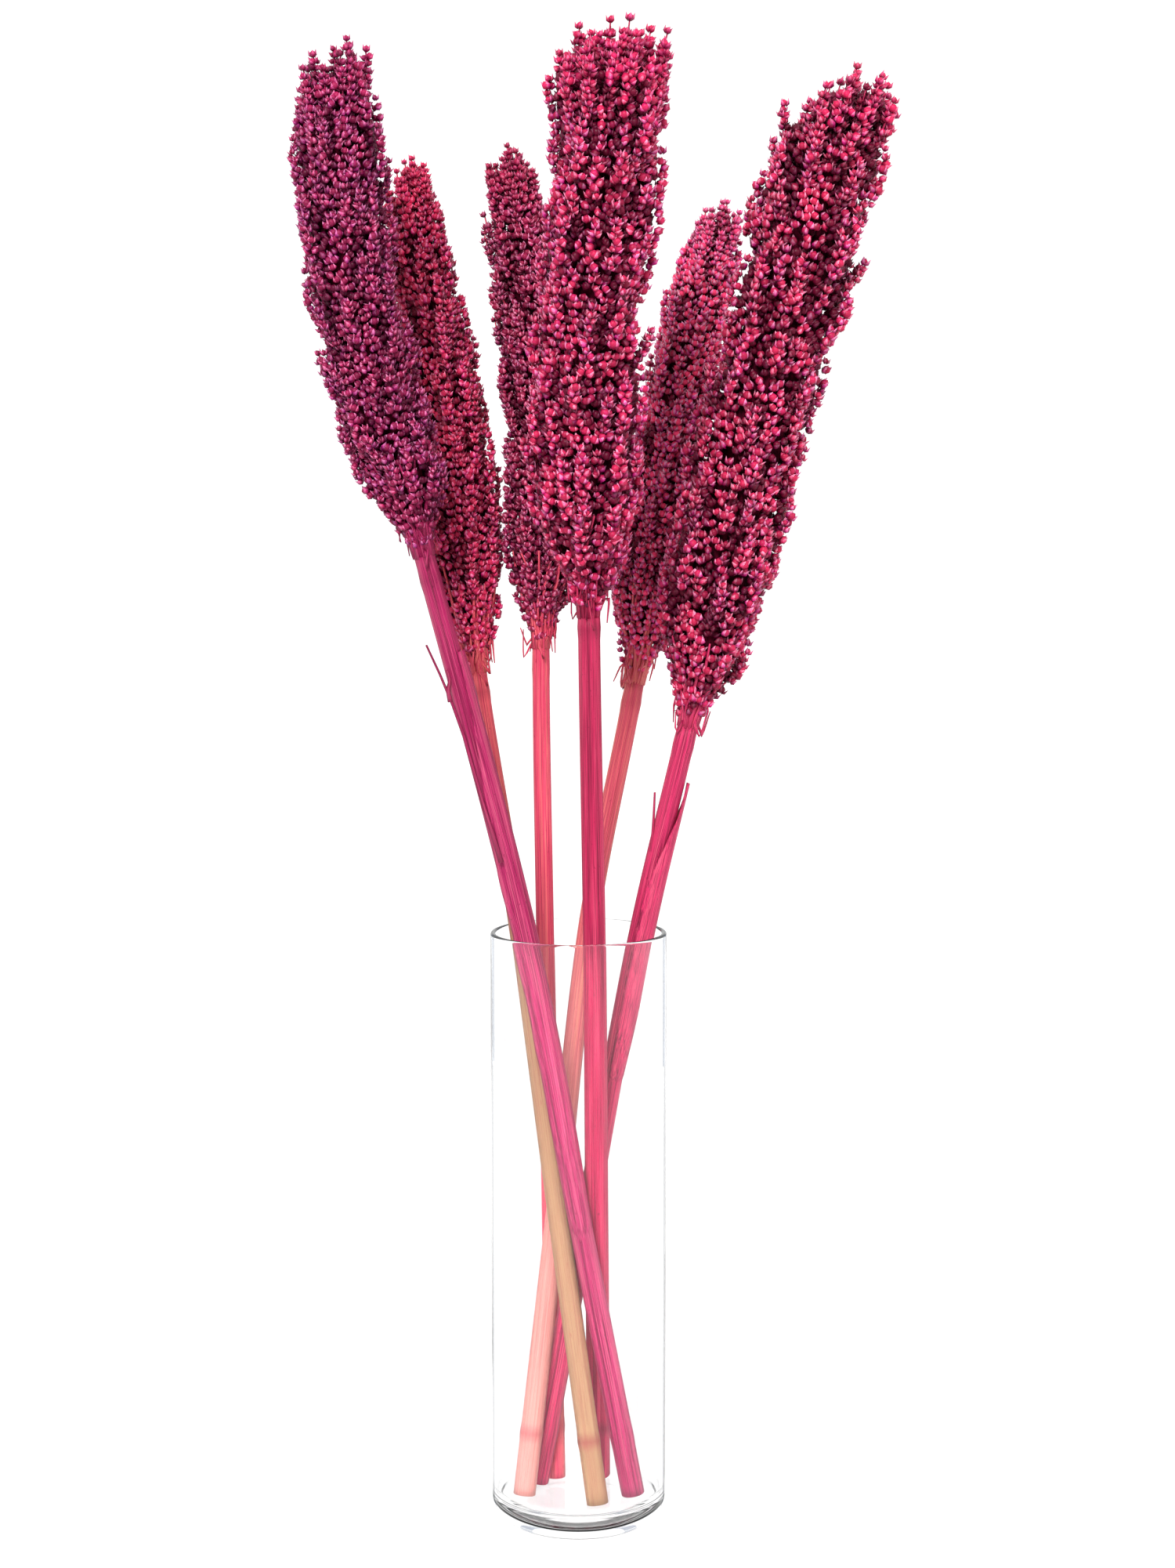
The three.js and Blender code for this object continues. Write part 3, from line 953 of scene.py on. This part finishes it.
def choose_cords(plant, branches, length):
    """Upright catkins side by side over the whole head: their feet, tips and outward ways.

    Many are tried, and those that stand out most choose their places first. Each has a low, a middle and a
    high point, and takes three spots, which are squashed because catkins may come closer end to end.
    """
    roll = np.random.default_rng(plant["seed"] + 5)
    climb = np.array([0.0, 0.5, 1.0])
    each = (CORD_TRIES, 1)
    spans = CATKIN_LENGTH / length * roll.uniform(0.8, 1.25, each)
    heights = roll.uniform(0.07, 1.0, each) - spans * (1 - climb)
    turns = roll.uniform(0, 2 * math.pi, each) + roll.uniform(-0.08, 0.08, each) * climb
    reaches = head_reach(plant, branches, np.clip(heights, 0.01, 0.99), turns)
    reaches = np.maximum(1.5, reaches - CORD_DEPTHS + roll.uniform(-2.2, 2.0, each))
    points = np.stack([reaches * np.cos(turns), reaches * np.sin(turns), heights * length], axis=-1)
    feet = points[:, 0]
    tips = points[:, 2]
    tops = length * (ragged_top(plant, tips[:, 0], tips[:, 1]) - roll.uniform(0, 0.04, CORD_TRIES))
    spots = np.stack([lerp(feet, tips, share) for share in (0.2, 0.5, 0.8)], axis=1)
    spots = spots * [1, 1, CORD_SQUASH]
    chosen = []
    taken = np.full((1, 3), -1000.0)
    for index in np.argsort(-reaches[:, 1] - roll.uniform(0, 3, CORD_TRIES)):
        gaps = np.linalg.norm(taken[None] - spots[index][:, None], axis=2)
        if gaps.min() > CORD_SPACING * plant["grain"] and tips[index, 2] < tops[index]:
            taken = np.vstack([taken, spots[index]])
            chosen.append((feet[index], tips[index], across_head(turns[index, 1])))
    return chosen


def add_sprigs(spikelets, plant, branches, length):
    """A loose catkin at the top of most branches."""
    roll = spikelets.roll
    for branch in branches:
        if roll.random() > SPRIG_SHARE or branch["to"] > SPRIG_TOP_SHARE:
            continue
        way = across_head(branch["turn"] + roll.uniform(-0.4, 0.4))
        offset = float(branch_offset(plant, branch, branch["to"]))
        top = UP * branch["to"] * length
        tip = way * (offset + branch["radius"] * roll.uniform(0.7, 1.15)) + top + UP * 3
        foot = way * offset * 0.8 + top - UP * 24
        if tip[2] < length * ragged_top(plant, tip[0], tip[1]):
            spikelets.add_catkin(foot, tip, way, TUFT_RANK, has_twig=True)


def add_crown_tuft(spikelets, plant, length):
    """The crown: a tuft of upright catkins of uneven height."""
    roll = spikelets.roll
    width = plant["head"] * plant["crown"] * CROWN_SHARE
    tuft = round(width)
    for order in range(tuft):
        reach = math.sqrt((order + 0.5) / tuft)
        way = across_head(order * GOLDEN_TURN + roll.uniform(-0.2, 0.2))
        foot = way * width * reach * 0.75
        tip = way * width * reach * roll.uniform(0.85, 1.05)
        unevenness = roll.choice((-0.05, -0.03, -0.01, 0.01))
        tip[2] = length * (ragged_top(plant, tip[0], tip[1]) + unevenness)
        foot[2] = tip[2] - length * roll.uniform(0.09, 0.12)
        spikelets.add_catkin(foot, tip, way, TUFT_RANK, bow=0.1, has_twig=True)


def add_fillers(spikelets, plant, branches, length):
    """Spikelets in rows on the surface of the mass behind the branches, which fill its bare places."""
    roll = spikelets.roll
    spacing = SPIKELET_SPACING * plant["grain"]
    rows = round(length / (spacing * 0.8))
    for reach_share in FILLER_SHARES:
        for row in range(rows):
            outline = plant["head"] * float(fullness((row + 0.5) / rows, plant["crown"]))
            count = max(6, round(2 * math.pi * outline * 0.85 / spacing))
            turns = np.array([(order + roll.random()) * 2 * math.pi / count for order in range(count)])
            heights = np.array([(row + 1.6 * roll.random() - 0.3) / rows for _ in range(count)])
            surface_reach = head_reach(plant, branches, heights, turns)
            reaches = np.maximum(surface_reach, outline * FILLER_FLOOR) * reach_share - 1
            ways = np.stack([np.cos(turns), np.sin(turns), 0 * turns], axis=-1)
            places = ways * reaches[:, None] + UP * heights[:, None] * length
            below_top = heights < ragged_top(plant, places[:, 0], places[:, 1]) - 0.04
            for place, way in zip(places[below_top], ways[below_top]):
                rank = FILLER_RANK - reach_share + 0.05 * roll.random()
                spikelets.add(place, way, False, rank)


def grow_spikelets(plant, branches, length):
    """The spikelets of a head: their places, outward ways, openness and light, and the loose twigs."""
    spikelets = Spikelets(plant)
    for foot, tip, way in choose_cords(plant, branches, length):
        spikelets.add_catkin(foot, tip, way, CORD_RANK - np.hypot(tip[0], tip[1]), bow=0.3)
    add_sprigs(spikelets, plant, branches, length)
    add_crown_tuft(spikelets, plant, length)
    add_fillers(spikelets, plant, branches, length)
    kept = thin_out(plant, spikelets, length)
    listed = (spikelets.places, spikelets.outs, spikelets.open)
    places, outs, opened = (np.array(column)[kept] for column in listed)
    return places, outs, opened, light_on(places, plant, length), spikelets.twigs


def tree_of(places):
    """A tree that finds the places near another one."""
    tree = KDTree(len(places))
    for index, place in enumerate(places):
        tree.insert(place, index)
    tree.balance()
    return tree


def thin_out(plant, spikelets, length):
    """Gives each spikelet room in order of rank, above the bare neck. Returns the numbers of those kept."""
    places = np.array(spikelets.places)
    ranks = np.array(spikelets.ranks)
    rises = places[:, 2]
    roll = np.random.default_rng(plant["seed"])
    bare = rises < BARE_NECK + BARE_NECK_MORE * roll.random(len(rises)) ** 2
    dropped = bare | (rises > length * (ragged_top(plant, places[:, 0], places[:, 1]) + 0.02))
    tree = tree_of(places)
    kept = []
    for index in np.argsort(ranks, kind="stable"):
        if dropped[index]:
            continue
        kept.append(index)
        room = TUFT_SPACING if ranks[index] == TUFT_RANK else SPIKELET_SPACING
        for _, other, _ in tree.find_range(places[index], room * spikelets.size):
            dropped[other] = True
    return np.array(kept[:MOST_SPIKELETS])


def light_on(places, plant, length):
    """How open each spikelet is to light. It lies in shade where others stand out further beside it."""
    tree = tree_of(places)
    crown = smoothstep(places[:, 2] / length, 0.9, 1.0)[:, None]
    outward = unit(places * [1, 1, 0] + 1e-6)
    ways = unit(outward * (1 - crown) + UP * (crown * 0.4 + 0.15))
    depths = []
    for place, way in zip(places, ways):
        others = [index for _, index, _ in tree.find_range(place, SHADE_REACH * plant["grain"])]
        depths.append(((places[others] - place) @ way).max())
    shade = smoothstep(np.array(depths), *SHADE_DEPTHS) * lerp(1, 0.35, crown[:, 0])
    return 1 - shade


def stand(pattern, places, ups, sides, sizes):
    """Copies of a pattern's corners, each standing at its place along its own up."""
    sides = unit(sides - ups * np.sum(sides * ups, axis=1, keepdims=True))
    thirds = np.cross(ups, sides)
    axes = np.stack([sides, thirds, ups], axis=1) * sizes[:, None, None]
    return np.einsum("cj,njk->nck", pattern, axes) + places[:, None, :]


def model_heart(plant, branches, length):
    """The shaded mass inside a head: a closed body of rings, with a middle point at each end."""
    rings = np.linspace(0, 1, HEART_RINGS)
    sides = np.arange(HEART_SIDES) * 2 * math.pi / HEART_SIDES
    share, turn = np.meshgrid(rings, sides, indexing="ij")
    outline = plant["head"] * fullness(share, plant["crown"])
    reach = HEART_SHARE * np.minimum(head_reach(plant, branches, share, turn), outline)
    reach = reach * np.sqrt(np.clip((1.0 - share) / 0.15, 0.02, 1))
    reach = np.maximum(2, reach * smoothstep(share * length, 0, 50))
    rise = 2 + share * length * 0.92
    points = np.stack([reach * np.cos(turn), reach * np.sin(turn), rise], axis=-1).reshape(-1, 3)
    ends = [points[:HEART_SIDES].mean(axis=0), points[-HEART_SIDES:].mean(axis=0)]
    foot = len(points)
    crown = foot + 1
    top_ring = foot - HEART_SIDES
    triangles = []
    for side in range(HEART_SIDES):
        following = (side + 1) % HEART_SIDES
        triangles.append((foot, following, side))
        triangles.append((crown, top_ring + side, top_ring + following))
        for low in range(0, top_ring, HEART_SIDES):
            high = low + HEART_SIDES
            triangles.append((low + side, low + following, high + following))
            triangles.append((low + side, high + following, high + side))
    return np.vstack([points, ends]), np.array(triangles)


def strand(points, radius, tip_radius, pattern):
    """A tapering twig along a line through points. Also returns its corners before it was bent."""
    line = Line(points, 12)
    straight, triangles = pattern
    shaped = straight.copy()
    shaped[:, :2] *= lerp(radius, tip_radius, straight[:, 2:])
    shaped[:, 2] *= line.length
    return line.lay(shaped), triangles, shaped


def neck_strands(plant, branches, length, pattern):
    """The ribs that rise from the stem into the head, and a few loose curled fibres."""
    roll = random.Random(plant["seed"] + 1)
    base = plant["stem"] * STEM_TOP_SHARE
    strands = [strand([UP * -1.5, UP * 20, UP * 60], base * 0.97, base * 0.6, pattern)]
    for order in range(RIBS):
        turn = (order + roll.uniform(-0.25, 0.25)) * 2 * math.pi / RIBS
        points = [across_head(turn) * base * 0.8 - UP]
        for height, share in ((8, 0.15), (20, 0.45), (36, 0.72), (56, 0.82)):
            height = height * roll.uniform(0.85, 1.15)
            reach = float(head_reach(plant, branches, np.array(height / length), np.array(turn)))
            wander = across_head(turn + roll.uniform(-0.2, 0.2))
            points.append(wander * lerp(base * 0.95, reach, share) + UP * height)
        strands.append(strand(points, roll.uniform(1.2, 2.0), 0.6, pattern))
    for _ in range(CURLED_FIBRES):
        turn = roll.uniform(0, 2 * math.pi)
        height = roll.uniform(2, 30)
        place = across_head(turn) * base * 0.95 + UP * height
        points = [place]
        drop = roll.choice((-1, 1, 1))
        for step in range(1, 5):
            way = across_head(turn + roll.uniform(-0.7, 0.7))
            climb = drop * step * roll.uniform(2.0, 4.0) * (1 if step < 4 else -0.4)
            points.append(place + way * step * roll.uniform(1.0, 1.9) + UP * climb)
        strands.append(strand(points, roll.uniform(0.6, 1.2), 0.3, pattern))
    return strands


class HeadMesh:
    """Collects the corners and triangles of one head, each part with its finish and its values."""

    def __init__(self, line, start, length):
        self.line = line
        self.start = start
        self.length = length
        self.points = []
        self.triangles = []
        self.finishes = []
        self.straights = []
        self.values = {label: [] for label in ("husk", "tone", "light", "rise", "height")}
        self.count = 0

    def add(self, points, triangles, finish, straight=None, **values):
        """Adds corners on the straight head, bent along the plant's line. Values not given are a half."""
        values["height"] = points[:, 2] / self.length
        for label, column in self.values.items():
            column.append(np.broadcast_to(np.asarray(values.get(label, 0.5), float), len(points)))
        self.straights.append(np.zeros((len(points), 3)) if straight is None else straight)
        self.points.append(self.line.lay(points, self.start))
        self.triangles.append(triangles + self.count)
        self.finishes.append(np.full(len(triangles), finish))
        self.count += len(points)

    def finish(self, name, materials):
        values = {label: np.concatenate(column) for label, column in self.values.items()}
        values["straight"] = np.vstack(self.straights)
        points = np.vstack(self.points)
        triangles = np.vstack(self.triangles)
        return new_piece(name, points, triangles, materials, values, np.concatenate(self.finishes))


def add_spikelets(head, pattern, places, outs, light, lift, plant, roll):
    """Copies of one kind of spikelet, which lean up by lift and turn a little at random."""
    pattern_points, pattern_faces, huskiness = pattern
    number = len(places)
    each = len(pattern_points)
    ups = unit(outs + UP * lift + roll.normal(0, 0.2, (number, 3)))
    level = unit(np.cross(UP, ups))
    spins = roll.normal(0, 0.9, number)[:, None]
    aside = level * np.cos(spins) + np.cross(ups, level) * np.sin(spins)
    sizes = SPIKELET_SIZE * plant["grain"] * roll.uniform(0.88, 1.1, number)
    feet = places - ups * sizes[:, None] * 0.45
    copies = stand(pattern_points, feet, ups, aside, sizes)
    first = np.arange(number)[:, None, None] * each
    head.add(
        copies.reshape(-1, 3),
        (pattern_faces[None] + first).reshape(-1, 3),
        GRAIN,
        husk=np.tile(huskiness, number),
        rise=np.tile(np.clip(pattern_points[:, 2], 0, 1), number),
        tone=np.repeat(roll.random(number), each),
        light=np.repeat(light, each),
    )


def make_head(plant, line, neck, materials, spikelet_patterns, twig_pattern):
    """A whole head: its dark heart, ribs, curled fibres, twigs and spikelets, as one piece."""
    start = neck + GAP
    length = line.length - start
    branches = branches_of(plant, length)
    places, outs, opened, light, twigs = grow_spikelets(plant, branches, length)
    head = HeadMesh(line, start, length)
    head.add(*model_heart(plant, branches, length), HEART)
    strands = neck_strands(plant, branches, length, twig_pattern)
    strands += [strand(middles, *TWIG_RADII, twig_pattern) for middles in twigs]
    for points, triangles, straight in strands:
        head.add(points, triangles, CANE, straight + UP * neck)
    roll = np.random.default_rng(plant["seed"])
    round_pattern, open_pattern = spikelet_patterns
    for wanted, pattern, lift in ((~opened, round_pattern, 1.0), (opened, open_pattern, 1.5)):
        add_spikelets(head, pattern, places[wanted], outs[wanted], light[wanted], lift, plant, roll)
    piece = head.finish("seed_head_" + plant["name"], materials)
    add_to_model(piece, "head_" + plant["name"])


# The stage


def make_stage():
    """A floor, and two grey cards far behind that only the glass shows, as thin dark lines at its edges."""
    floor = new_primitive(
        bpy.ops.mesh.primitive_circle_add, vertices=96, radius=FLOOR_RADIUS, fill_type="NGON"
    )
    floor.name = "floor"
    floor.data.materials.append(pale_floor("pale_floor"))
    floor.visible_glossy = False
    x, y, z = CARD_PLACE
    for side, name in ((-1, "grey_card_left"), (1, "grey_card_right")):
        card = new_primitive(bpy.ops.mesh.primitive_plane_add, size=1, location=(side * x, y, z))
        card.name = name
        card.rotation_euler = (math.pi / 2, 0, math.radians(-side * CARD_TURN))
        card.scale = (*CARD_SIZE, 1)
        material, _, shader = new_material(name, Roughness=1.0)
        shader.inputs["Base Color"].default_value = (0.3, 0.33, 0.38, 1)
        card.data.materials.append(material)
        card.visible_camera = False
        card.visible_diffuse = False
        card.visible_shadow = False


def make_light(name, way, power, softness):
    """A soft sun, so that the floor is lit evenly as far as it goes."""
    data = bpy.data.lights.new(name, "SUN")
    data.energy = power
    data.angle = math.radians(softness)
    lamp = bpy.data.objects.new(name, data)
    lamp.location = way
    lamp.visible_transmission = False
    lamp.rotation_euler = Vector(way).to_track_quat("Z", "Y").to_euler()
    bpy.context.scene.collection.objects.link(lamp)


def make_camera():
    data = bpy.data.cameras.new("camera")
    data.lens = CAMERA_LENS
    camera = bpy.data.objects.new("camera", data)
    camera.location = CAMERA_PLACE
    camera.rotation_euler = (math.pi / 2 - CAMERA_TILT, 0, 0)
    bpy.context.scene.collection.objects.link(camera)
    bpy.context.scene.camera = camera


def light_the_room():
    """A white background that lights the room less than it shows, and two soft suns."""
    world = bpy.data.worlds.new("white_room")
    world.use_nodes = True
    tree = world.node_tree
    background = tree.nodes["Background"]
    background.inputs["Color"].default_value = (1, 1, 1, 1)
    path = tree.nodes.new("ShaderNodeLightPath")
    unscattered = maths(tree, "LESS_THAN", path.outputs["Diffuse Depth"], 0.5)
    in_glass = maths(tree, "GREATER_THAN", path.outputs["Transmission Depth"], 0.5)
    through_glass = maths(tree, "MULTIPLY", in_glass, unscattered)
    seen = maths(tree, "MAXIMUM", path.outputs["Is Camera Ray"], through_glass)
    way = tree.nodes.new("ShaderNodeSeparateXYZ")
    plug(tree, way.inputs[0], tree.nodes.new("ShaderNodeTexCoord").outputs["Generated"])
    gloss = ranged(tree, way.outputs["Y"], -0.75, 0.35, GLOSS_IN_FRONT, GLOSS_BEHIND)
    room = ranged(tree, path.outputs["Is Glossy Ray"], 0, 1, ROOM_LIGHT, gloss)
    plug(tree, background.inputs["Strength"], ranged(tree, seen, 0, 1, room, SEEN_LIGHT))
    bpy.context.scene.world = world
    bpy.context.scene.view_settings.view_transform = "Standard"
    bpy.context.scene.cycles.glossy_bounces = BOUNCES
    bpy.context.scene.cycles.transmission_bounces = BOUNCES
    for name, (way, power, softness) in SUNS.items():
        make_light(name, way, power, softness)


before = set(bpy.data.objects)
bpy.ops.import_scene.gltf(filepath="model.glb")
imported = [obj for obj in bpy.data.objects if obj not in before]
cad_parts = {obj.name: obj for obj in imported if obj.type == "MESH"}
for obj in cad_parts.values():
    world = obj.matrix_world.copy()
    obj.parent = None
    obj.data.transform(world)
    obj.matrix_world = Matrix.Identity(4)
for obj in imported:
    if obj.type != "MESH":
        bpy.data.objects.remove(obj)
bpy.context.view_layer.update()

make_camera()
light_the_room()
make_stage()

make_vase(clear_glass("clear_glass"))
heart = dark_heart("dark_heart")
twig_pattern = straight_cane(1, 1, TWIG_SIDES, TWIG_RINGS)
spikelet_patterns = model_spikelets()
for plant in PLANTS:
    name = plant["name"]
    line = plant_line(plant)
    neck = line.distance_at_height(plant["neck"][2])
    *colours, bare_from, bare_to = CANE_DYES[name]
    cane = dyed_cane("cane_" + name, *(paint(*colour) for colour in colours), bare_from, bare_to)
    grain = dyed_grain_with_painted_light("grain_" + name, *(paint(*colour) for colour in GRAIN_DYES_AND_PAINTED_LIGHT[name]))
    make_stem(plant, line, neck, cane)
    if "sheath" in plant:
        make_sheath(plant, line, neck, cane, twig_pattern)
    make_head(plant, line, neck, [grain, cane, heart], spikelet_patterns, twig_pattern)
